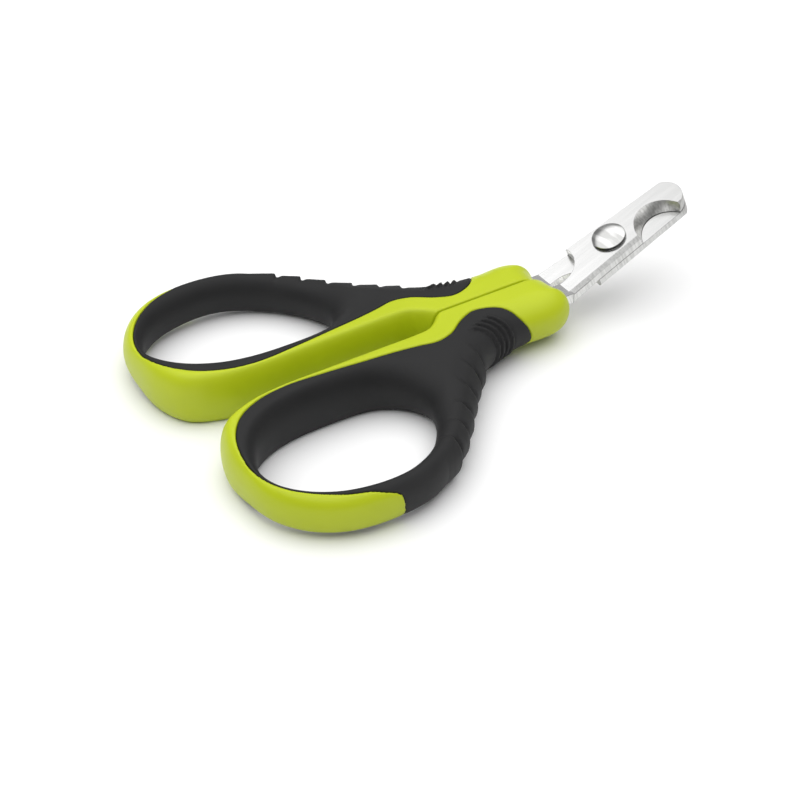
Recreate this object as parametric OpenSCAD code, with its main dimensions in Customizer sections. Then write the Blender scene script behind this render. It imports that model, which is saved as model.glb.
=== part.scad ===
// Scissor nail clipper: two cranked blades on one rivet, each blade moulded into
// a loop handle that has a rigid core and a soft grip.
// The clipper lies on its handles. +X points at the blade tips, +Y at the left handle
// and +Z up. The origin is under the middle of the whole outline.

/* [Handles] */
// Height of the top of the handles along the seam
handle_height = 9.2; // [8.4:0.1:10]
// How much the underside of the nose is raised off the table
nose_lift = 0.9; // [0:0.1:1.2]
// How much lower the top of the finger loop is than the top of the nose
loop_top_drop = 1.5; // [0:0.1:2]
// How much the underside at the back of the finger loop is raised off the table
loop_rise = 0.85; // [0:0.05:1.2]
// How much further forward the right half's nose reaches than the left half's
right_nose_reach = 1.05; // [0:0.05:1.4]
// Space between the two closed handles at the seam
seam_gap = 0.06; // [0.04:0.01:0.2]
// Radius of the rounded edge around the finger hole
hole_edge_radius = 2.4; // [1:0.1:2.6]

/* [Blades] */
// Thickness of each blade plate
blade_thickness = 1.8; // [1.4:0.1:2.2]
// Angle by which the blades are cranked up from the handles
crank_angle = 22; // [18:0.5:25]
// Distance from the pivot to the tip of the blades
tip_length = 15.0; // [13:0.1:18]
// Width of the blade head at its heel
heel_width = 8.9; // [7.5:0.1:10]
// Width of the blade head at its tip
tip_width = 7.4; // [6.6:0.1:8]
// Width of the shank that runs back into the handle
shank_width = 3.5; // [2.6:0.1:4]
// Space between the faces of the two blades
blade_gap = 0.05; // [0.03:0.01:0.1]
// Size of the chamfer along the outer edge of each blade
edge_chamfer = 0.6; // [0.2:0.1:0.9]

/* [Nail notch] */
// Radius of the grinding wheel that leaves the nail notch
notch_radius = 4.8; // [4:0.1:5]
// Lean of the notch's ground wall, which leaves its cutting edge on the inner face
notch_lean = 40; // [20:1:45]
// Distance from the pivot to the middle of the notch
notch_from_pivot = 8.0; // [7.4:0.1:8.6]
// How far the two cutting edges pass the middle line when the blades are closed
notch_pass = 0.6; // [0.2:0.1:1.2]

/* [Rivet] */
// Distance from the bend of the blades to the pivot, measured level
bend_to_pivot = 11.3; // [11:0.1:14]
// Radius of the rivet's head
head_radius = 2.9; // [2.2:0.1:3.2]
// Height of the rivet's head above the blade
head_height = 0.8; // [0.5:0.1:1.2]
// Radius of the rivet's shank
shank_radius = 1.5; // [1.2:0.1:1.8]
// Running clearance between the rivet and the blade that turns on it
running_clearance = 0.05; // [0.02:0.01:0.08]
// Radius of the washer under the rivet's tail
washer_radius = 2.5; // [2.2:0.1:3]
// Thickness of the washer
washer_thickness = 0.5; // [0.3:0.1:0.8]

/* [Hidden] */
$fn = 96;

lime = [0.74, 0.83, 0.12];
charcoal = [0.16, 0.16, 0.17];
steel = [0.80, 0.81, 0.82];
polished = [0.90, 0.90, 0.91];

// The blades part and bend in the plane halfway up the nose.
mid_z = (handle_height + nose_lift) / 2;
bend_x = 21.7;
pivot_x = bend_x + bend_to_pivot;
pivot_z = mid_z + bend_to_pivot * tan(crank_angle);
bend_from_pivot = bend_to_pivot / cos(crank_angle);

// The shank stays clear of the seam, and its tang ends inside the core.
shank_inner_y = 1.5;
shank_outer_y = shank_inner_y + shank_width;
tang_length = 10.5;

// Stations around the left handle, each a line across its section: the rim of the
// finger hole, the outer edge of the grip, the outer edge of the handle and the
// radius of the handle's outer edge. They start where the core meets the outside of
// the nose and run down the seam, round the back of the loop and up the waist.
core_stations = [
    [[-13.5, 14.7], [9.6, 7.9], [10.0, 8.1], 5.6],
    [[-13.5, 14.5], [9.1, 7.2], [15.4, 8.1], 5.0],
    [[-13.6, 14.3], [8.6, 6.3], [17.9, 7.1], 4.9],
    [[-13.6, 14.1], [8.0, 5.4], [19.3, 5.4], 4.8],
    [[-13.7, 13.9], [7.3, 4.5], [19.3, 3.0], 4.8],
    [[-13.8, 13.6], [6.4, 3.7], [18.4, 0.0], 3.2],
    [[-13.9, 13.3], [5.0, 3.0], [14.5, 0.0], 1.4],
    [[-14.0, 12.9], [3.2, 2.7], [10.1, 0.0], 0.8],
    [[-14.2, 12.2], [0.2, 3.8], [4.1, 0.0], 0.8],
    [[-14.7, 11.4], [-3.2, 6.0], [-1.8, 0.0], 0.8],
    [[-15.4, 10.4], [-6.2, 6.7], [-3.6, 0.8], 1.2],
    [[-16.7, 9.1], [-9.6, 6.1], [-5.4, 2.0], 1.4],
    [[-18.7, 7.9], [-13.6, 5.5], [-8.5, 2.3], 1.6],
    [[-22.0, 7.2], [-18.5, 5.0], [-13.6, 2.3], 1.6],
    [[-26.9, 6.9], [-25.4, 4.3], [-23.4, 2.3], 1.6],
    [[-33.3, 7.3], [-33.0, 4.0], [-33.3, 2.4], 1.6],
    [[-37.6, 8.6], [-38.0, 4.9], [-38.8, 3.4], 1.8],
    [[-41.2, 11.0], [-42.3, 7.3], [-44.3, 5.9], 2.2],
    [[-43.5, 14.4], [-45.2, 11.3], [-47.0, 10.9], 2.2],
    [[-44.5, 17.9], [-46.2, 16.6], [-47.5, 17.0], 2.2],
    [[-43.6, 21.6], [-45.1, 22.0], [-46.5, 23.1], 2.2],
    [[-41.0, 24.9], [-42.3, 26.2], [-43.3, 28.0], 2.2],
    [[-36.8, 27.4], [-38.1, 29.4], [-38.6, 31.2], 2.2],
    [[-32.6, 28.4], [-33.1, 31.1], [-32.8, 32.4], 2.2],
    [[-30.4, 28.6], [-30.5, 31.7], [-30.4, 32.5], 2.2]
];
// Past the end of the core the grip is the whole section: the rim of the finger
// hole, the outer edge of the handle and the radius of the outer edge.
grip_stations = [
    [[-29.7, 28.6], [-29.7, 32.5], 2.3],
    [[-26.4, 28.4], [-26.4, 32.3], 2.6],
    [[-22.7, 27.1], [-21.8, 31.3], 3.0],
    [[-19.4, 25.0], [-17.0, 28.6], 3.6],
    [[-16.8, 22.2], [-12.3, 24.6], 4.2],
    [[-15.2, 19.9], [-7.8, 19.5], 4.8],
    [[-14.1, 17.4], [-3.0, 14.5], 5.4],
    [[-13.6, 16.1], [1.6, 10.6], 6.0],
    [[-13.5, 15.3], [6.3, 8.7], 6.0]
];
all_stations = concat(core_stations,
    [for (s = grip_stations) [s[0], s[1], s[1], s[2]]]);

// One pass of four-point subdivision: it keeps every station and adds one between
// each pair, on a smooth curve through its four neighbours.
function between(a, b, c, d) = (9 * (b + c) - a - d) / 16;
function station(i) = all_stations[(i + len(all_stations)) % len(all_stations)];
function smooth_station(i) = [for (k = [0:3])
    between(station(i - 1)[k], station(i)[k], station(i + 1)[k], station(i + 2)[k])];
ring = [for (i = [0:len(all_stations) - 1], half = [0, 1])
    half == 0 ? station(i) : smooth_station(i)];
core_run = [for (i = [0:2 * len(core_stations) - 2]) ring[i]];

// No point of a handle crosses the seam.
function seam_side(p) = [p[0], max(p[1], seam_gap / 2)];

// The top falls from the seam to the outside of the loop. The underside is level at
// the waist and rises to the nose and to the back of the loop.
loop_start_y = 5;
loop_width = 18;
nose_start_x = -6;
nose_length = 16;
rise_start_y = 9.5;
rise_width = 13;
rise_start_x = -14;
rise_length = 16;
reach_start_x = 7;
reach_length = 11;
function smoothstep(t) = t <= 0 ? 0 : t >= 1 ? 1 : t * t * (3 - 2 * t);
function top_z(p) =
    handle_height - loop_top_drop * smoothstep((p[1] - loop_start_y) / loop_width);
function bottom_z(p) = nose_lift * smoothstep((p[0] - nose_start_x) / nose_length)
    + loop_rise * smoothstep((p[1] - rise_start_y) / rise_width)
    * smoothstep((rise_start_x - p[0]) / rise_length);

// Height of the rounded edge as a share of the full half thickness, at a distance
// from the rim of the finger hole and from the outer edge.
edge_share = 0.25;
function rounding(distance, radius) = pow(1 - min(distance / radius, 1), 2);
function height_share(to_hole, to_edge, edge_radius) = max(edge_share,
    sqrt(max(0, 1 - rounding(to_hole, hole_edge_radius) - rounding(to_edge, edge_radius))));

// Points across half a section, packed into the rounded stretch at each end.
end_steps = [0, 0.15, 0.5, 1];
least_reach = 1;
function reach(radius, length) = min(max(radius, least_reach), 0.45 * length);
function across(length, start_radius, end_radius) =
    concat([for (s = end_steps) s * reach(start_radius, length)],
           [for (k = [len(end_steps) - 1:-1:0])
               length - end_steps[k] * reach(end_radius, length)]);

function surface_point(p, share, up) =
    let (middle = (top_z(p) + bottom_z(p)) / 2, half = (top_z(p) - bottom_z(p)) / 2)
    [p[0], p[1], middle + (up ? share * half : -share * half)];

// A closed section from point a to point b. The finger hole lies hole_away before a,
// and the outer edge of the handle edge_away beyond b.
function section(a, b, hole_away, edge_away, edge_radius) =
    let (length = norm(b - a))
    let (steps = across(length, hole_edge_radius - hole_away, edge_radius - edge_away))
    let (half = function (up) [for (d = steps)
        surface_point(seam_side(a + (b - a) * d / length),
            height_share(hole_away + d, edge_away + length - d, edge_radius), up)])
    let (top = half(true), bottom = half(false))
    concat(top, [for (k = [len(bottom) - 1:-1:0]) bottom[k]]);

function grip_section(s) =
    section(s[0], s[1], 0, norm(s[2] - s[1]), s[3]);
function core_section(s) =
    section(s[1], s[2], norm(s[1] - s[0]), 0, s[3]);

// A section of the right half, before it is mirrored, with its nose drawn forward.
function drawn(points) = [for (p = points)
    [p[0] + right_nose_reach * smoothstep((p[0] - reach_start_x) / reach_length),
     p[1], p[2]]];

// A skin over a row of sections. A closed row joins its last section to its first,
// and an open one is capped at both ends.
function skin_faces(rows, points, closed) = concat(
    [for (i = [0:rows - (closed ? 1 : 2)], k = [0:points - 1])
        let (next = (i + 1) % rows, side = (k + 1) % points)
        each [[i * points + k, next * points + side, next * points + k],
              [i * points + k, i * points + side, next * points + side]]],
    closed ? [] : [[for (k = [0:points - 1]) points - 1 - k],
                   [for (k = [0:points - 1]) (rows - 1) * points + k]]);

module skin(sections, closed) {
    points = len(sections[0]);
    polyhedron(points = [for (s = sections) each s],
               faces = skin_faces(len(sections), points, closed), convexity = 8);
}

// Moves a plate from its own frame, pivot at the origin, onto the cranked blades.
module cranked() {
    translate([pivot_x, 0, pivot_z]) rotate([0, -crank_angle, 0]) children();
}

// Outline of the upper blade seen from above, pivot at the origin. The plain edge is
// on the +Y side and the nail notch on the -Y side.
heel_x = -6.2;
heel_relief_radius = 4.8;
tip_radius = tip_width / 2;
module blade_outline() {
    difference() {
        union() {
            polygon([
                [heel_x, heel_width / 2], [tip_length - tip_radius, tip_radius],
                [tip_length - tip_radius, -tip_radius],
                [heel_x, -heel_width / 2],
                [-bend_from_pivot, -shank_outer_y],
                [-bend_from_pivot, -shank_inner_y],
                [heel_x - heel_relief_radius, -shank_inner_y],
                [heel_x, -shank_inner_y]
            ]);
            translate([tip_length - tip_radius, 0]) circle(r = tip_radius);
            // the stock that the round relief behind the heel is cut from
            translate([heel_x - heel_relief_radius, -shank_inner_y])
                square([heel_relief_radius, shank_inner_y + heel_width / 2 - edge_chamfer]);
        }
        translate([heel_x - heel_relief_radius, heel_relief_radius - shank_inner_y])
            circle(r = heel_relief_radius);
    }
}

// One blade plate with its inner face on z = 0, its thickness above it and a bore of
// the given radius. It covers the cranked stretch from the bend to the tip.
module blade_head(bore_radius) {
    difference() {
        linear_extrude(blade_thickness) blade_outline();
        nail_notch();
        translate([0, 0, -1]) cylinder(r = bore_radius, h = blade_thickness + 2);
        edge_chamfers();
    }
}

// The leaning cylinder that cuts the nail notch.
module nail_notch() {
    reach = notch_radius / cos(notch_lean);
    translate([notch_from_pivot, -notch_pass - reach, 0]) rotate([-notch_lean, 0, 0])
        cylinder(r = notch_radius, h = 30, center = true);
}

// The chamfers along the two long edges of the outer face.
module edge_chamfers() {
    taper = atan((heel_width - tip_width) / 2 / (tip_length - tip_radius - heel_x));
    bar = sqrt(2) * edge_chamfer;
    for (side = [1, -1])
        translate([heel_x, side * heel_width / 2, blade_thickness])
            rotate([0, 0, -side * taper]) rotate([45, 0, 0])
                translate([-tip_length, -bar / 2, -bar / 2])
                    cube([3 * tip_length, bar, bar]);
}

// The level tang of a plate on the -Y side, from the bend back into the core.
module tang(z) {
    translate([bend_x - tang_length, -shank_outer_y, z])
        cube([tang_length, shank_width, blade_thickness]);
}

module upper_blade() {
    color(steel) {
        cranked() translate([0, 0, blade_gap / 2])
            blade_head(shank_radius + running_clearance);
        tang(mid_z + blade_gap / 2);
    }
}

// The lower blade is the upper one turned over: its notch opens to the other side.
module lower_blade() {
    color(steel) {
        cranked() rotate([180, 0, 0]) translate([0, 0, blade_gap / 2])
            blade_head(shank_radius);
        mirror([0, 1, 0]) tang(mid_z - blade_gap / 2 - blade_thickness);
        lower_bend();
    }
}

// The outside of the lower blade's bend, rounded about the bend line.
module lower_bend() {
    intersection() {
        translate([bend_x, shank_inner_y, mid_z - blade_gap / 2])
            rotate([-90, 0, 0]) cylinder(r = blade_thickness, h = shank_width);
        translate([bend_x, shank_inner_y, mid_z - blade_gap / 2 - 2 * blade_thickness])
            cube([blade_thickness, shank_width, 2 * blade_thickness]);
    }
}

// The rivet, turned about the pivot: a low domed head, the shank and the peened tail.
stack = blade_gap / 2 + blade_thickness;
head_lift = 0.04;
tail_radius = 2.0;
tail_height = 0.6;
module pivot_rivet() {
    rim = head_height / 2;
    dome_rise = head_height - rim;
    dome_radius = (pow(head_radius, 2) + pow(dome_rise, 2)) / (2 * dome_rise);
    color(polished) cranked() {
        // the shank, from the washer to the head
        translate([0, 0, -stack - washer_thickness])
            cylinder(r = shank_radius, h = 2 * stack + washer_thickness + head_lift + rim);
        // the head: a straight rim with a dome on top
        translate([0, 0, stack + head_lift]) {
            cylinder(r = head_radius, h = rim);
            intersection() {
                translate([0, 0, rim + dome_rise - dome_radius]) sphere(r = dome_radius);
                cylinder(r = head_radius, h = head_height + 1);
            }
        }
        // the peened tail
        translate([0, 0, -stack - washer_thickness - tail_height])
            cylinder(r1 = shank_radius, r2 = tail_radius, h = tail_height);
    }
}

module rivet_washer() {
    color(polished) cranked() translate([0, 0, -stack - washer_thickness])
        difference() {
            cylinder(r = washer_radius, h = washer_thickness);
            translate([0, 0, -1]) cylinder(r = shank_radius, h = washer_thickness + 2);
        }
}

module left_core() {
    color(lime) difference() {
        skin([for (s = core_run) core_section(s)], false);
        mirror([0, 1, 0]) tang(mid_z - blade_gap / 2 - blade_thickness);
    }
}

module right_core() {
    color(lime) difference() {
        mirror([0, 1, 0]) skin([for (s = core_run) drawn(core_section(s))], false);
        tang(mid_z + blade_gap / 2);
    }
}

module left_grip() {
    color(charcoal) skin([for (s = ring) grip_section(s)], true);
}

module right_grip() {
    color(charcoal) mirror([0, 1, 0])
        skin([for (s = ring) drawn(grip_section(s))], true);
}

upper_blade();
lower_blade();
pivot_rivet();
rivet_washer();
left_core();
right_core();
left_grip();
right_grip();
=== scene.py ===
"""Looks of the scissor nail clipper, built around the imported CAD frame.

The handles are one implicit solid (a rounded slab between a plan outline and a finger
hole), split into a rigid core and a soft grip, and turned into meshes. The blades are
the CAD's own solids with a steel material, and the rivet and the washer are turned
pieces. Shapes made here are in millimetres. Materials, modifiers and the studio are in
metres.
"""
import math

import bpy
import numpy as np
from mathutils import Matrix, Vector


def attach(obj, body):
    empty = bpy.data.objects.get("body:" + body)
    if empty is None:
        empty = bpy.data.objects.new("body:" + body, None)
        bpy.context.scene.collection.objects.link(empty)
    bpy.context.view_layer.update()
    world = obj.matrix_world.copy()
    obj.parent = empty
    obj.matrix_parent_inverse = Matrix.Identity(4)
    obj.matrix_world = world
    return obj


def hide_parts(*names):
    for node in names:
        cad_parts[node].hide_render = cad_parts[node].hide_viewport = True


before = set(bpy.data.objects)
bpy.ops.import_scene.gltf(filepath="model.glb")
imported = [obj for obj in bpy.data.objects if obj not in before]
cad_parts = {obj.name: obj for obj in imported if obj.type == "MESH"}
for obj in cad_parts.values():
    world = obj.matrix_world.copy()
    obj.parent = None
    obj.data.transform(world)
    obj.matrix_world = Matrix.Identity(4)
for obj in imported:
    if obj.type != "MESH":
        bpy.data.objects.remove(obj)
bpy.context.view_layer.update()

MM = 0.001
# The blades are cranked up at a bend behind the pivot.
CRANK = math.radians(22)
BLADE_MIDDLE_Z = 5.05
BEND_TO_PIVOT = 11.3
PIVOT = np.array([33.0, 0.0, BLADE_MIDDLE_Z + BEND_TO_PIVOT * math.tan(CRANK)])
BLADE_ALONG = np.array([math.cos(CRANK), 0.0, math.sin(CRANK)])
BLADE_ACROSS = np.array([0.0, 1.0, 0.0])
BLADE_UP = np.array([-math.sin(CRANK), 0.0, math.cos(CRANK)])

# ---------------------------------------------------------------- handle outlines
# Outline of the left handle seen from above: x, y and the radius of its edge. It runs
# from the front of the nose back along the seam, round the loop and up the waist.
OUTLINE = [
    (18.3, -1.5, 5.0), (16.4, -3.6, 4.6), (10.0, -3.6, 2.8), (0.0, -2.6, 1.6),
    (-2.6, -0.2, 1.4), (-4.2, 1.2, 1.4), (-5.8, 2.1, 1.5), (-8.5, 2.3, 1.6),
    (-13.6, 2.3, 1.6), (-23.4, 2.3, 1.6), (-33.3, 2.4, 1.6), (-39.1, 3.2, 1.8),
    (-44.7, 5.7, 2.2), (-47.2, 10.8, 2.2), (-47.5, 17.0, 2.2), (-46.5, 23.1, 2.2),
    (-43.3, 28.0, 2.2), (-38.6, 31.2, 2.2), (-32.8, 32.55, 2.2), (-26.4, 32.5, 2.6),
    (-21.8, 31.3, 3.0), (-17.0, 28.3, 3.6), (-12.3, 24.15, 4.2), (-8.0, 19.3, 4.8),
    (-3.3, 14.3, 4.8), (1.6, 10.2, 5.0), (6.3, 8.7, 5.2), (10.6, 8.1, 5.2),
    (13.2, 8.2, 5.0), (15.5, 8.1, 5.0), (17.5, 7.4, 4.9), (19.0, 6.1, 4.8),
    (19.6, 4.3, 4.8), (19.0, 2.4, 5.0), (18.7, 0.6, 5.0),
]
# Rim of the finger hole: x, y and the radius of its edge, which is widest at the waist.
HOLE = [
    (-13.5, 14.8, 5.0), (-15.0, 10.8, 4.4), (-18.5, 7.9, 3.0), (-26.9, 6.9, 2.2),
    (-33.3, 7.3, 2.0), (-37.6, 8.6, 2.0), (-41.2, 11.0, 2.0), (-43.5, 14.4, 2.2),
    (-44.5, 17.9, 2.2), (-43.6, 21.6, 2.2), (-41.0, 24.9, 2.2), (-36.8, 27.4, 2.4),
    (-31.3, 28.6, 2.6), (-26.4, 28.4, 2.8), (-22.7, 27.1, 3.0), (-19.4, 25.0, 3.4),
    (-16.8, 22.2, 4.0), (-14.7, 18.9, 4.6),
]
# Edge between the soft grip and the core, from the outside of the nose to the end of
# the core on the outside of the loop.
GRIP_EDGE = [
    (10.9, 11.0), (10.2, 8.7), (9.5, 7.2), (8.4, 5.4), (6.6, 3.7), (3.2, 2.7),
    (0.2, 3.8), (-3.2, 6.0), (-6.2, 6.7), (-9.6, 6.1), (-13.6, 5.5), (-18.5, 5.0),
    (-25.4, 4.3), (-32.5, 3.9), (-38.0, 4.9), (-42.3, 7.3), (-45.2, 11.3),
    (-46.2, 16.6), (-45.1, 22.0), (-42.3, 26.2), (-38.1, 29.4), (-34.3, 30.9),
    (-30.9, 31.7), (-29.1, 32.6), (-28.5, 33.9), (-28.3, 36.0),
]
# Corners that close the grip's area well outside the handle.
GRIP_OUTSIDE = [(-20.0, 40.0), (10.0, 20.0)]

# ---------------------------------------------------------------- handle heights
SEAM_HEIGHT = 9.2
# The underside rises under the nose and under the back of the loops, and the top falls
# towards the outside.
NOSE_LIFT = 0.9
NOSE_START_X = -6.0
NOSE_LENGTH = 16.0
LOOP_DROP = 1.5
LOOP_DROP_START_Y = 5.0
LOOP_DROP_WIDTH = 18.0
LOOP_RISE = 0.85
LOOP_RISE_START_Y = 9.5
LOOP_RISE_WIDTH = 13.0
LOOP_RISE_START_X = -14.0
LOOP_RISE_LENGTH = 16.0
# Edges underneath have these shares of the radius on top. The two blend over this much
# of the half height on either side of the middle.
UNDERSIDE_EDGE = 0.8
UNDERSIDE_HOLE_EDGE = 0.65
UNDERSIDE_BLEND = 0.4
EDGE_POWER = 2.1
ROUND_POWER = 2.0
HALF_SEAM = 0.03
SEAM_EDGE = 0.15
# The right half's nose reaches further forward than the left half's.
NOSE_SHIFT = {"left": 0.0, "right": 1.05}
NOSE_SHIFT_X = 7.0
NOSE_SHIFT_LENGTH = 11.0

# ---------------------------------------------------------------- grip and core
GRIP_GAP = 0.03
SPLIT_RADIUS = 0.2
# At the core's end on the outside of the loop, the grip takes more of the top and the
# core more of the underside.
TONGUE_X = (-34.0, -25.0)
TONGUE_EASE = (3.0, 2.0)
TONGUE_MIN_Y = 25.0
TONGUE_TOP_POWER = 3
TONGUE_UNDER_POWER = 1.5
# Behind the nose, the grip reaches further forward the lower it is.
PAD_LEAN = 0.3
PAD_LEAN_Z = 7.4
PAD_X = 4.0
PAD_EASE_X = 4.0
PAD_Y = 5.0
PAD_EASE_Y = 3.0

# ---------------------------------------------------------------- ribs on the grip
# Distances back along the outside of the waist are measured from this point.
RIB_ORIGIN = (10.6, 8.4)
RIB_MAX_INWARD = 6.0
RIB_MIN_Z = 0.6
WAIST_RIBS = [12.1, 15.7, 19.8, 24.2, 28.7, 33.1]
RIB_PITCH = 4.5
RIB_HEIGHT = 0.75
RIB_TOP_SHARE = 0.5
RIB_STEP = 0.35
# Each rib has a groove in front of it, which is wider and deeper on the handle's side
# than on its top.
GROOVE_DEPTH = 0.95
GROOVE_TOP_SHARE = 0.35
GROOVE_AHEAD = 0.5
GROOVE_WIDTH = 0.4
GROOVE_SIDE_WIDTH = 0.15
# The ribs bow back towards the loop halfway down the side, and fade out inward.
RIB_BOW = 1.2
RIB_BOW_Z = 3.2
RIB_BOW_REACH = 5.4
RIB_FADE_START = 1.0
RIB_FADE_WIDTH = 2.6
RIB_TOP_Z = 4.8
RIB_TOP_EASE = 2.0
# Thin arcs on the pad behind the nose, which bow forward and stand in a shallow hollow.
NOSE_RIBS = [5.5, 6.65, 7.75, 8.85]
NOSE_RIB_WIDTH = 0.3
NOSE_RIB_HEIGHT = 0.58
NOSE_RIB_SINK = 0.22
NOSE_RIB_REACH = 3.7
NOSE_RIB_END = 0.4
NOSE_RIB_BOW = 1.9
NOSE_RIB_BOW_Z = 5.0
NOSE_RIB_BOW_REACH = 9.0
NOSE_RIB_MARGIN = 0.9
NOSE_RIB_EASE = 0.5

# ---------------------------------------------------------------- grid
CELL = 0.23
MARGIN_CELLS = 4
CURVE_STEP = 0.15
FIELD_LIMIT = 3.0
MIN_SLOPE = 0.05
SNAP_ROUNDS = 3
POINTS_AT_ONCE = 20000


def smoothstep(t):
    t = np.clip(t, 0.0, 1.0)
    return t * t * (3.0 - 2.0 * t)


def smooth_curve(points, closed):
    """A dense centripetal Catmull-Rom curve. Columns after x and y are carried along."""
    p = np.array(points, float)
    n = len(p)
    out = []
    for i in range(n if closed else n - 1):
        b, c = p[i], p[(i + 1) % n]
        a = p[i - 1] if closed or i else 2 * b - c
        d = p[(i + 2) % n] if closed or i + 2 < n else 2 * c - b
        gaps = [max(np.hypot(*(q - r)[:2]), 1e-6) ** 0.5 for q, r in ((b, a), (c, b), (d, c))]
        k = np.cumsum([0.0] + gaps)
        count = max(2, int(np.ceil(np.hypot(*(c - b)[:2]) / CURVE_STEP)))
        t = np.linspace(k[1], k[2], count, endpoint=False)[:, None]

        def mix(q, r, t0, t1):
            return ((t1 - t) * q + (t - t0) * r) / (t1 - t0)

        ab, bc, cd = mix(a, b, k[0], k[1]), mix(b, c, k[1], k[2]), mix(c, d, k[2], k[3])
        out.append(mix(mix(ab, bc, k[0], k[2]), mix(bc, cd, k[1], k[3]), k[1], k[2]))
    if not closed:
        out.append(p[-1:])
    return np.vstack(out)


def loop_distance(points, loop):
    """Signed distance from plan points to a closed loop, positive inside, with the
    index of the nearest loop point."""
    q = loop[:, :2]
    nxt = np.roll(q, -1, 0)
    area = (q[:, 0] * nxt[:, 1] - nxt[:, 0] * q[:, 1]).sum()
    nearest = np.empty(len(points), int)
    for i in range(0, len(points), POINTS_AT_ONCE):
        p = points[i:i + POINTS_AT_ONCE]
        nearest[i:i + POINTS_AT_ONCE] = ((q * q).sum(1) - 2 * p @ q.T).argmin(1)
    best = np.full(len(points), np.inf)
    side = np.zeros(len(points))
    for shift in (0, -1):
        a = q[(nearest + shift) % len(q)]
        b = q[(nearest + shift + 1) % len(q)]
        along = b - a
        t = np.clip(((points - a) * along).sum(1) / (along * along).sum(1), 0, 1)
        off = points - a - along * t[:, None]
        dist = np.hypot(off[:, 0], off[:, 1])
        cross = along[:, 0] * off[:, 1] - along[:, 1] * off[:, 0]
        closer = dist < best
        best = np.where(closer, dist, best)
        side = np.where(closer, cross, side)
    return best * np.where(side * area >= 0, 1.0, -1.0), nearest


def round_max(a, b, radius):
    """The larger of two distances, with the edge where they meet rounded."""
    ra, rb = np.maximum(a + radius, 0), np.maximum(b + radius, 0)
    return np.where((ra > 0) & (rb > 0), np.hypot(ra, rb) - radius, np.maximum(a, b))


def surface_net(field, origin):
    """Vertices and quads of the surface where the field is zero."""
    cells = tuple(n - 1 for n in field.shape)
    total = np.zeros((int(np.prod(cells)), 3))
    count = np.zeros(len(total))
    crossings = []
    for axis in range(3):
        lo = [slice(None)] * 3
        hi = [slice(None)] * 3
        lo[axis], hi[axis] = slice(0, -1), slice(1, None)
        a, b = field[tuple(lo)], field[tuple(hi)]
        at = np.argwhere((a < 0) != (b < 0))
        va, vb = a[tuple(at.T)], b[tuple(at.T)]
        spot = at.astype(float)
        spot[:, axis] += va / (va - vb)
        u, v = (axis + 1) % 3, (axis + 2) % 3
        corners = []
        for du, dv in ((-1, -1), (0, -1), (0, 0), (-1, 0)):
            c = at.copy()
            c[:, u] += du
            c[:, v] += dv
            index = np.ravel_multi_index(c.T, cells)
            for k in range(3):
                total[:, k] += np.bincount(index, spot[:, k], len(total))
            count += np.bincount(index, minlength=len(total))
            corners.append(index)
        quad = np.stack(corners, 1)
        quad[va >= 0] = quad[va >= 0][:, ::-1]
        crossings.append(quad)
    used = np.flatnonzero(count)
    number = np.full(len(count), -1)
    number[used] = np.arange(len(used))
    verts = total[used] / count[used, None] * CELL + origin
    return verts, number[np.vstack(crossings)]


def sample(volume, points, origin):
    """Trilinear values of a grid at points."""
    g = (points - origin) / CELL
    i = np.clip(np.floor(g).astype(int), 0, np.array(volume.shape[:3]) - 2)
    f = g - i
    out = 0
    for dx in (0, 1):
        for dy in (0, 1):
            for dz in (0, 1):
                w = (abs(1 - dx - f[:, 0]) * abs(1 - dy - f[:, 1]) * abs(1 - dz - f[:, 2]))
                value = volume[i[:, 0] + dx, i[:, 1] + dy, i[:, 2] + dz]
                out = out + (w[:, None] * value if value.ndim > 1 else w * value)
    return out


def net_mesh(field, origin):
    """Vertices moved onto the field's zero surface, and the quads between them."""
    verts, quads = surface_net(field, origin)
    slope = np.stack(np.gradient(field, CELL), -1)
    for _ in range(SNAP_ROUNDS):
        value = sample(field, verts, origin)
        g = sample(slope, verts, origin)
        move = value[:, None] * g / np.maximum((g * g).sum(1), MIN_SLOPE)[:, None]
        verts = verts - np.clip(move, -CELL / 2, CELL / 2)
    return verts, quads


# ---------------------------------------------------------------- handle shape
def waist_ribs(back, inward, z):
    """Height of the waist's scalloped steps. Each rises sharply, falls off slowly
    towards the loop, and bows back halfway down the side."""
    bow = RIB_BOW * (1 - ((z - RIB_BOW_Z) / RIB_BOW_REACH) ** 2)
    fade = 1 - smoothstep((inward - RIB_FADE_START) / RIB_FADE_WIDTH)
    side = 1 - smoothstep((z - RIB_TOP_Z) / RIB_TOP_EASE)
    width = GROOVE_WIDTH + GROOVE_SIDE_WIDTH * side
    height = np.zeros_like(z)
    groove = np.zeros_like(z)
    for start in WAIST_RIBS:
        behind = back - bow - start
        rise = smoothstep(behind / RIB_STEP + 0.5)
        fall = np.clip(1 - behind / RIB_PITCH, 0, 1)
        height = np.maximum(height, rise * fall)
        groove = np.maximum(groove, np.exp(-((behind + GROOVE_AHEAD) / width) ** 2))
    raised = RIB_HEIGHT * height * (RIB_TOP_SHARE + (1 - RIB_TOP_SHARE) * side)
    sunk = GROOVE_DEPTH * groove * (GROOVE_TOP_SHARE + (1 - GROOVE_TOP_SHARE) * side)
    return (raised - sunk) * fade


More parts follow.
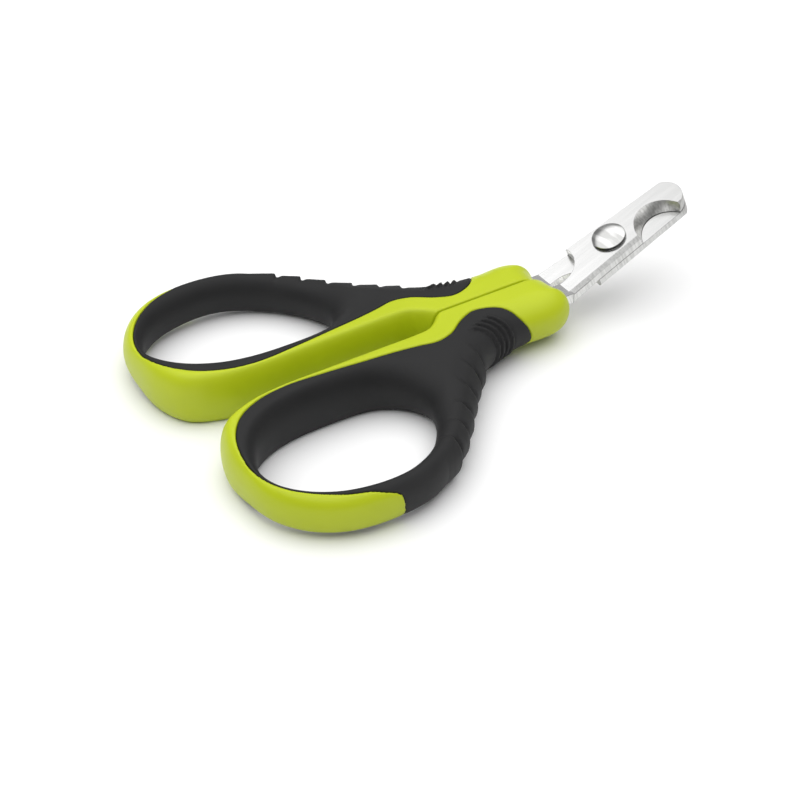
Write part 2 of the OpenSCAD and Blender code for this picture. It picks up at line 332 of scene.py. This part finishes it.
def nose_ribs(back, inward, z):
    """Height of the four thin raised arcs on the pad behind the nose."""
    across = np.clip(inward / NOSE_RIB_REACH, 0, 1)
    down = (z - NOSE_RIB_BOW_Z) / NOSE_RIB_BOW_REACH
    place = back + NOSE_RIB_BOW * (1 - across ** 2) * (1 - down ** 2)
    height = np.zeros_like(z)
    for start in NOSE_RIBS:
        off = (place - start) / NOSE_RIB_WIDTH
        height = np.maximum(height, np.clip(1 - off * off, 0, 1))
    hollow = (smoothstep((place - NOSE_RIBS[0] + NOSE_RIB_MARGIN) / NOSE_RIB_EASE)
              * smoothstep((NOSE_RIBS[-1] + NOSE_RIB_MARGIN - place) / NOSE_RIB_EASE))
    end = 1 - smoothstep((inward - NOSE_RIB_REACH) / NOSE_RIB_END)
    return (NOSE_RIB_HEIGHT * np.sqrt(height) - NOSE_RIB_SINK * hollow) * end


def handle_heights(x, y):
    """Heights of the handle's top and underside over plan points."""
    top = SEAM_HEIGHT - LOOP_DROP * smoothstep((y - LOOP_DROP_START_Y) / LOOP_DROP_WIDTH)
    bottom = (NOSE_LIFT * smoothstep((x - NOSE_START_X) / NOSE_LENGTH)
              + LOOP_RISE * smoothstep((y - LOOP_RISE_START_Y) / LOOP_RISE_WIDTH)
              * smoothstep((LOOP_RISE_START_X - x) / LOOP_RISE_LENGTH))
    return top, bottom


def rounded_slab(rim, hole_rim, y, level):
    """Distance to the handle's solid, negative inside. The rims are plan distances into
    the outline and into the hole, in edge radii. The level goes from -1 at the underside
    to 1 at the top."""
    upper = smoothstep((level + UNDERSIDE_BLEND) / (2 * UNDERSIDE_BLEND))
    edge_share = UNDERSIDE_EDGE + (1 - UNDERSIDE_EDGE) * upper
    hole_share = UNDERSIDE_HOLE_EDGE + (1 - UNDERSIDE_HOLE_EDGE) * upper
    outer = np.maximum(1 - rim / edge_share, 0)
    inner = np.maximum(1 + hole_rim / hole_share, 0)
    seam = np.maximum(1 - (y - HALF_SEAM) / SEAM_EDGE, 0)
    powers = (outer ** EDGE_POWER + inner ** ROUND_POWER + seam ** ROUND_POWER
              + np.abs(level) ** EDGE_POWER)
    shape = powers ** (1 / EDGE_POWER) - 1
    slope = np.gradient(shape, CELL)
    solid = shape / np.maximum(np.sqrt(sum(s * s for s in slope)), MIN_SLOPE)
    return np.clip(solid, -FIELD_LIMIT, FIELD_LIMIT)


def leaning_grip_edge(to_grip, x, y, z, level):
    """Distance into the grip's area, leaned behind the nose and at the core's end."""
    tongue = (smoothstep((x - TONGUE_X[0]) / TONGUE_EASE[0])
              * smoothstep((TONGUE_X[1] - x) / TONGUE_EASE[1]))
    upper = np.maximum(level, 0) ** TONGUE_TOP_POWER
    lower = np.maximum(-level, 0) ** TONGUE_UNDER_POWER
    pad = smoothstep((x - PAD_X) / PAD_EASE_X) * smoothstep((y - PAD_Y) / PAD_EASE_Y)
    return (to_grip + np.where(y > TONGUE_MIN_Y, tongue * (upper - lower), 0)
            + pad * PAD_LEAN * (PAD_LEAN_Z - z))


def handle_fields():
    """Grids of the core's and the grip's solids for the left handle, and the grids'
    low corner."""
    outline = smooth_curve(OUTLINE, True)
    hole = smooth_curve(HOLE, True)
    edge = np.vstack([smooth_curve(GRIP_EDGE, False), GRIP_OUTSIDE])
    low = np.array([outline[:, 0].min(), 0.0, 0.0]) - MARGIN_CELLS * CELL
    high = (np.array([outline[:, 0].max(), outline[:, 1].max(), SEAM_HEIGHT])
            + (MARGIN_CELLS + 1) * CELL)
    size = np.ceil((high - low) / CELL).astype(int) + 1
    gx, gy, gz = (low[k] + CELL * np.arange(size[k]) for k in range(3))
    plan = np.stack(np.meshgrid(gx, gy, indexing="ij"), -1).reshape(-1, 2)

    def column(values):
        return values.reshape(size[0], size[1], 1)

    to_edge, near = loop_distance(plan, outline)
    to_hole, near_hole = loop_distance(plan, hole)
    to_grip, _ = loop_distance(plan, edge)
    x, y, z = column(plan[:, 0]), column(plan[:, 1]), gz.reshape(1, 1, -1)
    top, bottom = handle_heights(x, y)
    level = (z - (top + bottom) / 2) / ((top - bottom) / 2)
    solid = rounded_slab(column(to_edge / outline[near, 2]),
                         column(to_hole / hole[near_hole, 2]), y, level)

    steps = np.hypot(*np.diff(outline[:, :2], axis=0, append=outline[:1, :2]).T)
    length = np.concatenate([[0], np.cumsum(steps)[:-1]])
    nose = np.argmin(np.hypot(*(outline[:, :2] - RIB_ORIGIN).T))
    back, inward, z_full = (np.broadcast_to(values, solid.shape) for values in (
        column(length[nose] - length[near]), column(to_edge), z))
    ribs = waist_ribs(back, inward, z_full) + nose_ribs(back, inward, z_full)
    ribbed = (back > 0) & (inward < RIB_MAX_INWARD) & (z_full > RIB_MIN_Z)
    grip_side = leaning_grip_edge(column(to_grip), x, y, z, level)
    grip = round_max(solid - np.where(ribbed, ribs, 0), GRIP_GAP - grip_side, SPLIT_RADIUS)
    core = round_max(solid, GRIP_GAP + grip_side, SPLIT_RADIUS)
    return core, grip, low


def handle_side(verts, side):
    """Points of the left handle moved to one side, with that side's nose length."""
    points = verts * [1, 1 if side == "left" else -1, 1]
    forward = smoothstep((verts[:, 0] - NOSE_SHIFT_X) / NOSE_SHIFT_LENGTH)
    points[:, 0] += NOSE_SHIFT[side] * forward
    return points


def make_object(name, verts, faces, material):
    mesh = bpy.data.meshes.new(name)
    mesh.from_pydata((np.asarray(verts) * MM).tolist(), [], [list(f) for f in faces])
    mesh.polygons.foreach_set("use_smooth", [True] * len(mesh.polygons))
    mesh.materials.append(material)
    mesh.validate()
    mesh.update()
    obj = bpy.data.objects.new(name, mesh)
    bpy.context.scene.collection.objects.link(obj)
    return obj


# ---------------------------------------------------------------- node trees
class Nodes:
    """A node tree with one method for each kind of node that is used here. A value is
    a socket or a plain value, and a node's method returns its output."""

    def __init__(self, tree):
        self.nodes = tree.nodes
        self.links = tree.links
        self.coords = tree.nodes.new("ShaderNodeTexCoord").outputs

    def feed(self, socket, value):
        if isinstance(value, bpy.types.NodeSocket):
            self.links.new(value, socket)
        else:
            socket.default_value = value

    def noise(self, vector, scale, detail, stretch=(1, 1, 1)):
        mapping = self.nodes.new("ShaderNodeMapping")
        self.feed(mapping.inputs["Vector"], vector)
        self.feed(mapping.inputs["Scale"], stretch)
        noise = self.nodes.new("ShaderNodeTexNoise")
        self.feed(noise.inputs["Vector"], mapping.outputs["Vector"])
        self.feed(noise.inputs["Scale"], scale)
        self.feed(noise.inputs["Detail"], detail)
        return noise.outputs["Fac"]

    def ramp(self, value, span, shades):
        """A colour that goes through a pair of shades as the value goes over a span."""
        node = self.nodes.new("ShaderNodeValToRGB")
        for element, at, colour in zip(node.color_ramp.elements, span, shades):
            element.position = at
            element.color = (*colour, 1.0)
        self.feed(node.inputs["Fac"], value)
        return node.outputs["Color"]

    def spread(self, value, span, ends=(0.0, 1.0), smooth=False):
        """Goes from one end to the other as the value goes over a span, and is held
        beyond it."""
        node = self.nodes.new("ShaderNodeMapRange")
        node.interpolation_type = "SMOOTHSTEP" if smooth else "LINEAR"
        for name, number in zip(("From Min", "From Max", "To Min", "To Max"), (*span, *ends)):
            node.inputs[name].default_value = number
        self.feed(node.inputs["Value"], value)
        return node.outputs["Result"]

    def maths(self, operation, first, second=0.0):
        node = self.nodes.new("ShaderNodeMath")
        node.operation = operation
        self.feed(node.inputs[0], first)
        self.feed(node.inputs[1], second)
        return node.outputs["Value"]

    def dot(self, first, second):
        node = self.nodes.new("ShaderNodeVectorMath")
        node.operation = "DOT_PRODUCT"
        self.feed(node.inputs[0], first)
        self.feed(node.inputs[1], second)
        return node.outputs["Value"]

    def scaled(self, vector, factor):
        node = self.nodes.new("ShaderNodeVectorMath")
        node.operation = "SCALE"
        self.feed(node.inputs[0], vector)
        self.feed(node.inputs["Scale"], factor)
        return node.outputs["Vector"]

    def mix(self, kind, factor, first, second):
        node = self.nodes.new("ShaderNodeMix")
        node.data_type = kind
        self.feed(node.inputs["Factor"], factor)
        self.feed(node.inputs["A"], first)
        self.feed(node.inputs["B"], second)
        return node.outputs["Result"]

    def bump(self, height, strength, distance):
        node = self.nodes.new("ShaderNodeBump")
        self.feed(node.inputs["Strength"], strength)
        self.feed(node.inputs["Distance"], distance)
        self.feed(node.inputs["Height"], height)
        return node.outputs["Normal"]

    def face_share(self):
        """1 where a surface lies flat with the cranked plates, and 0 where it stands
        square to them."""
        return self.maths("ABSOLUTE", self.dot(self.coords["Normal"], tuple(BLADE_UP)))


def new_material(name):
    material = bpy.data.materials.new(name)
    material.use_nodes = True
    return material, Nodes(material.node_tree), material.node_tree.nodes["Principled BSDF"]


def dress(tree, shader, values):
    """Sets or links a shader's inputs by name."""
    for name, value in values.items():
        tree.feed(shader.inputs[name], value)


# ---------------------------------------------------------------- materials
# Pairs of linear colours, a dark one and a pale one.
LIME_SHADES = (0.425, 0.505, 0.008), (0.46, 0.54, 0.012)
GRIP_SHADES = (0.012, 0.012, 0.0125), (0.017, 0.017, 0.0175)
GROUND_SHADES = (0.56, 0.56, 0.55), (0.72, 0.72, 0.71)
BRIGHT_SHADES = (0.80, 0.80, 0.795), (0.86, 0.86, 0.855)
HOLLOW_SHADES = (0.64, 0.64, 0.62), (0.90, 0.90, 0.88)
RIVET_SHADES = (0.66, 0.66, 0.65), (0.94, 0.94, 0.93)
FLOOR_SHADES = (0.84, 0.84, 0.84), (0.86, 0.86, 0.86)
# Spans of the noises' values over which the colours and the roughness change.
NOISE_SPAN = (0.3, 0.7)
GRIND_SPAN = (0.35, 0.65)
STREAK_SPAN = (0.42, 0.56)
# Where a surface counts as one of the plates' flat faces, and as the rivet head's wall.
FLAT_SPAN = (0.80, 0.90)
HEAD_WALL_SPAN = (0.2, 0.5)
# Painted shade: walls of the rivet and the washer that stand square to the plates are darkened to
# these tones, for the dark they reflect.
HEAD_WALL_SHADE_TONES = (0.12, 1.0)
# Places along the blades, and across them at their outer edges. The notch's wall and the faces are
# painted with shade that darkens them towards the tips.
OUTER_EDGE_Y = (0.0034, 0.0036)
NOTCH_X = (0.040, 0.0465)
NOTCH_SHADE_TONES = (1.05, 0.60)
HEAD_X = (0.024, 0.046)
HEAD_SHADE_TONES = (1.05, 0.84)
# Painted shade: the blades' sharp edges are darkened over this width, where the surface turns,
# standing in for the dark that the narrow edges reflect.
EDGE_WIDTH = 0.0002
EDGE_SAMPLES = 8
EDGE_TURN = (0.78, 0.97)
EDGE_SHADE_TONES = (0.25, 1.0)


def lime_plastic():
    material, tree, shader = new_material("lime_plastic")
    flow = tree.noise(tree.coords["Object"], 60.0, 3.0)
    grain = tree.noise(tree.coords["Object"], 2600.0, 2.0)
    dress(tree, shader, {
        "Base Color": tree.ramp(flow, NOISE_SPAN, LIME_SHADES),
        "Roughness": tree.spread(flow, NOISE_SPAN, (0.34, 0.42)),
        "Normal": tree.bump(grain, 0.12, 0.00003),
        "Specular IOR Level": 0.38,
        "Subsurface Weight": 0.12,
        "Subsurface Radius": (1.0, 1.0, 0.2),
        "Subsurface Scale": 0.0012,
    })
    return material


def soft_grip():
    material, tree, shader = new_material("charcoal_soft_grip")
    cloud = tree.noise(tree.coords["Object"], 180.0, 5.0)
    grain = tree.noise(tree.coords["Object"], 5200.0, 3.0)
    dress(tree, shader, {
        "Base Color": tree.ramp(cloud, NOISE_SPAN, GRIP_SHADES),
        "Roughness": tree.spread(cloud, NOISE_SPAN, (0.62, 0.72)),
        "Normal": tree.bump(grain, 0.35, 0.00004),
        "Specular IOR Level": 0.4,
    })
    return material


def painted_edge_shade(tree):
    """1 on a blade's faces, falling to a painted dark shade close to its edges, for the dark that
    the narrow edges reflect.
    """
    rounded = tree.nodes.new("ShaderNodeBevel")
    rounded.samples = EDGE_SAMPLES
    tree.feed(rounded.inputs["Radius"], EDGE_WIDTH)
    geometry = tree.nodes.new("ShaderNodeNewGeometry")
    turn = tree.dot(rounded.outputs["Normal"], geometry.outputs["True Normal"])
    return tree.spread(turn, EDGE_TURN, EDGE_SHADE_TONES)


def blade_steel():
    """Ground steel: the plates' flat faces are nearly mirror bright, and their edges and the notches
    are greyer, with grinding marks that run across the thickness. Painted shade darkens the notches
    and the faces towards the tips, and draws a thin dark line along the sharp edges."""
    material, tree, shader = new_material("ground_steel")
    flat = tree.spread(tree.face_share(), FLAT_SPAN)
    turned = tree.nodes.new("ShaderNodeMapping")
    tree.feed(turned.inputs["Vector"], tree.coords["Object"])
    tree.feed(turned.inputs["Rotation"], (0.0, CRANK, 0.0))
    grind = tree.noise(turned.outputs["Vector"], 4200.0, 2.0, (1.0, 0.6, 0.05))
    brush = tree.noise(turned.outputs["Vector"], 900.0, 3.0, (0.08, 1.0, 1.0))
    ground = tree.ramp(grind, GRIND_SPAN, GROUND_SHADES)
    bright = tree.ramp(brush, NOISE_SPAN, BRIGHT_SHADES)
    hollow = tree.ramp(grind, GRIND_SPAN, HOLLOW_SHADES)

    place = tree.nodes.new("ShaderNodeSeparateXYZ")
    tree.feed(place.inputs["Vector"], tree.coords["Object"])
    along, across = place.outputs["X"], place.outputs["Y"]
    outer = tree.spread(tree.maths("ABSOLUTE", across), OUTER_EDGE_Y)
    # Painted shade: the notch's wall darkens towards the tip.
    notch = tree.scaled(hollow, tree.spread(along, NOTCH_X, NOTCH_SHADE_TONES))
    walls = tree.mix("RGBA", outer, notch, ground)
    surface = tree.mix("RGBA", flat, walls, bright)
    # Painted shade: the faces darken towards the tips.
    surface = tree.scaled(surface, tree.spread(along, HEAD_X, HEAD_SHADE_TONES))
    marks = tree.bump(grind, 0.3, 0.00002)
    fine = tree.bump(brush, 0.15, 0.000004)
    dress(tree, shader, {
        # Painted shade: a thin dark line along the blades' sharp edges.
        "Base Color": tree.scaled(surface, painted_edge_shade(tree)),
        "Roughness": tree.spread(flat, (0.0, 1.0), (0.34, 0.24)),
        "Normal": tree.mix("VECTOR", flat, marks, fine),
        "Metallic": 1.0,
    })
    return material


def polished_steel():
    """The rivet's polished steel, with painted reflection and shade: bright and dull stripes stand
    in for the streaky reflections on the domed head, and a dark rim where the head's wall is stands
    in for the dark it reflects.
    """
    material, tree, shader = new_material("polished_steel")
    cloud = tree.noise(tree.coords["Object"], 700.0, 1.0, (1.0, 0.25, 1.0))
    # Painted reflection: stripes that stand in for the streaky reflections on the domed head.
    reflection_streaks = tree.ramp(cloud, STREAK_SPAN, RIVET_SHADES)
    # Painted shade: walls that stand square to the plates, on the rivet and the washer, are
    # darkened.
    wall = tree.spread(tree.face_share(), HEAD_WALL_SPAN, HEAD_WALL_SHADE_TONES)
    dress(tree, shader, {
        "Base Color": tree.scaled(reflection_streaks, wall),
        "Roughness": tree.spread(cloud, NOISE_SPAN, (0.10, 0.18)),
        "Normal": tree.bump(cloud, 0.25, 0.00003),
        "Metallic": 1.0,
    })
    return material


def pale_floor():
    material, tree, shader = new_material("pale_floor")
    cloud = tree.noise(tree.coords["Object"], 4.0, 2.0)
    dress(tree, shader, {
        "Base Color": tree.ramp(cloud, NOISE_SPAN, FLOOR_SHADES),
        "Roughness": 0.8,
        "Specular IOR Level": 0.1,
    })
    return material


LIME = lime_plastic()
GRIP = soft_grip()
BLADE_STEEL = blade_steel()
RIVET_STEEL = polished_steel()

# ---------------------------------------------------------------- handles
core_field, grip_field, grid_origin = handle_fields()
for part, field, material, slot in (
    ("core", core_field, LIME, "handle_plastic"),
    ("grip", grip_field, GRIP, "soft_grip"),
):
    verts, quads = net_mesh(field, grid_origin)
    for side, body, faces in (("left", "left_half", quads), ("right", "right_half", quads[:, ::-1])):
        points = handle_side(verts, side)
        piece = make_object(f"{side}_{part}_moulding", points, faces, material)
        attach(piece, body)
        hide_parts(f"{side}_{part}")

# ---------------------------------------------------------------- blades
BLADE_EDGE = 0.00012
WELD_DISTANCE = 0.000002
FLAT_ANGLE = math.radians(0.5)
SHARP_ANGLE = math.radians(25)


def broken_edges(obj):
    """Crisp but not razor-sharp edges on a flat-faced solid."""
    weld = obj.modifiers.new("weld", "WELD")
    weld.merge_threshold = WELD_DISTANCE
    flatten = obj.modifiers.new("flatten", "DECIMATE")
    flatten.decimate_type = "DISSOLVE"
    flatten.angle_limit = FLAT_ANGLE
    bevel = obj.modifiers.new("bevel", "BEVEL")
    bevel.width = BLADE_EDGE
    bevel.segments = 2
    bevel.limit_method = "ANGLE"
    bevel.angle_limit = SHARP_ANGLE
    bevel.use_clamp_overlap = True
    bevel.harden_normals = True


for node in ("upper_blade", "lower_blade"):
    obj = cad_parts[node]
    obj.data.materials.clear()
    obj.data.materials.append(BLADE_STEEL)
    broken_edges(obj)

# ---------------------------------------------------------------- rivet and washer
# Half the thickness of the two blades and their gap, and the washer's thickness.
STACK = 1.825
WASHER = 0.5
TAIL_TOP = -STACK - WASHER
TURNS = 96
FILLET_POINTS = 6


def rounded_profile(corners):
    """A half section, (radius, height, fillet) corners, as a fine polyline."""
    line = []
    for i, (r, h, fillet) in enumerate(corners):
        here = np.array([r, h])
        if not fillet or i in (0, len(corners) - 1):
            line.append(here)
            continue
        before = np.array(corners[i - 1][:2]) - here
        after = np.array(corners[i + 1][:2]) - here
        start = here + before / np.hypot(*before) * fillet
        end = here + after / np.hypot(*after) * fillet
        for t in np.linspace(0, 1, FILLET_POINTS):
            line.append((1 - t) ** 2 * start + 2 * t * (1 - t) * here + t * t * end)
    return np.array(line)


def turned_piece(name, corners, material, ring=False):
    """A piece turned about the pivot's axis from a half section whose heights are
    measured from the blades' meeting plane. A ring is closed on itself, and any other
    piece by a flat cap at each end."""
    line = rounded_profile(corners)
    angle = np.arange(TURNS) * 2 * math.pi / TURNS
    radius, height = line[:, 0][:, None, None], line[:, 1][:, None, None]
    spokes = (np.cos(angle)[:, None] * BLADE_ALONG + np.sin(angle)[:, None] * BLADE_ACROSS)
    points = (PIVOT + radius * spokes + height * BLADE_UP).reshape(-1, 3)
    rows = len(line)
    faces = []
    for i in range(rows if ring else rows - 1):
        for k in range(TURNS):
            n, j = (k + 1) % TURNS, (i + 1) % rows
            faces.append([i * TURNS + k, j * TURNS + k, j * TURNS + n, i * TURNS + n])
    if not ring:
        faces.append(list(range(TURNS)))
        faces.append([(rows - 1) * TURNS + k for k in reversed(range(TURNS))])
    return make_object(name, points, faces, material)


rivet = turned_piece("turned_rivet", [
    (0.05, STACK + 0.84, 0), (1.4, STACK + 0.80, 0.5), (2.3, STACK + 0.68, 0.3),
    (2.86, STACK + 0.52, 0.10), (2.9, STACK + 0.04, 0.05), (1.5, STACK + 0.04, 0),
    (1.5, TAIL_TOP, 0), (1.95, TAIL_TOP - 0.02, 0.1), (2.0, TAIL_TOP - 0.35, 0.2),
    (1.2, TAIL_TOP - 0.6, 0.3), (0.05, TAIL_TOP - 0.5, 0)], RIVET_STEEL)
washer = turned_piece("turned_washer", [
    (1.52, -STACK, 0.06), (1.52, TAIL_TOP, 0.06), (2.5, TAIL_TOP, 0.12),
    (2.5, -STACK, 0.06)], RIVET_STEEL, ring=True)
for piece, node in ((rivet, "pivot_rivet"), (washer, "rivet_washer")):
    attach(piece, "left_half")
    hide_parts(node)

# ---------------------------------------------------------------- camera
AZIMUTH = math.radians(32.9)
ELEVATION = math.radians(36.6)
DISTANCE = 0.34475
TARGET = Vector((-0.01975, -0.01666, 0.0092))
forward = Vector((math.sin(AZIMUTH) * math.cos(ELEVATION),
                  math.cos(AZIMUTH) * math.cos(ELEVATION), -math.sin(ELEVATION)))
camera = bpy.data.objects.new("camera", bpy.data.cameras.new("camera"))
bpy.context.scene.collection.objects.link(camera)
camera.location = TARGET - forward * DISTANCE
camera.rotation_mode = "QUATERNION"
camera.rotation_quaternion = forward.to_track_quat("-Z", "Y")
camera.data.lens = 102.4
camera.data.sensor_width = 36.0
camera.data.clip_start = 0.01
camera.data.clip_end = 50.0
bpy.context.scene.camera = camera

# ---------------------------------------------------------------- studio
KEY_PLACE = Vector((-0.10, 0.16, 0.8))
KEY_SIZE = 1.6
KEY_POWER = 8.6
FLOOR_SIZE = 6.0
# The floor lies just under the handles, because two surfaces at one height show through
# each other.
FLOOR_DROP = 0.00005

lamp = bpy.data.lights.new("key", "AREA")
lamp.size = KEY_SIZE
lamp.energy = KEY_POWER
key = bpy.data.objects.new("key", lamp)
key.location = KEY_PLACE
key.rotation_mode = "QUATERNION"
key.rotation_quaternion = (-KEY_PLACE).to_track_quat("-Z", "Y")
key.visible_glossy = False
bpy.context.scene.collection.objects.link(key)

# A plain sky that is brightest overhead and a little dimmer on one side.
world = bpy.data.worlds.new("studio")
world.use_nodes = True
sky = Nodes(world.node_tree)
direction = sky.nodes.new("ShaderNodeSeparateXYZ")
sky.feed(direction.inputs["Vector"], sky.coords["Generated"])
overhead = sky.spread(direction.outputs["Z"], (0.56, 0.72), (0.26, 1.2), smooth=True)
front = sky.spread(direction.outputs["Y"], (-0.95, -0.5), (0.75, 1.0), smooth=True)
background = sky.nodes["Background"]
sky.feed(background.inputs["Strength"], sky.maths("MULTIPLY", overhead, front))
sky.feed(background.inputs["Color"], (1, 1, 1, 1))
bpy.context.scene.world = world
bpy.context.scene.view_settings.view_transform = "Standard"

bpy.ops.mesh.primitive_plane_add(size=FLOOR_SIZE, location=(0, 0, -FLOOR_DROP))
floor = bpy.context.object
floor.name = "floor"
floor.data.materials.append(pale_floor())
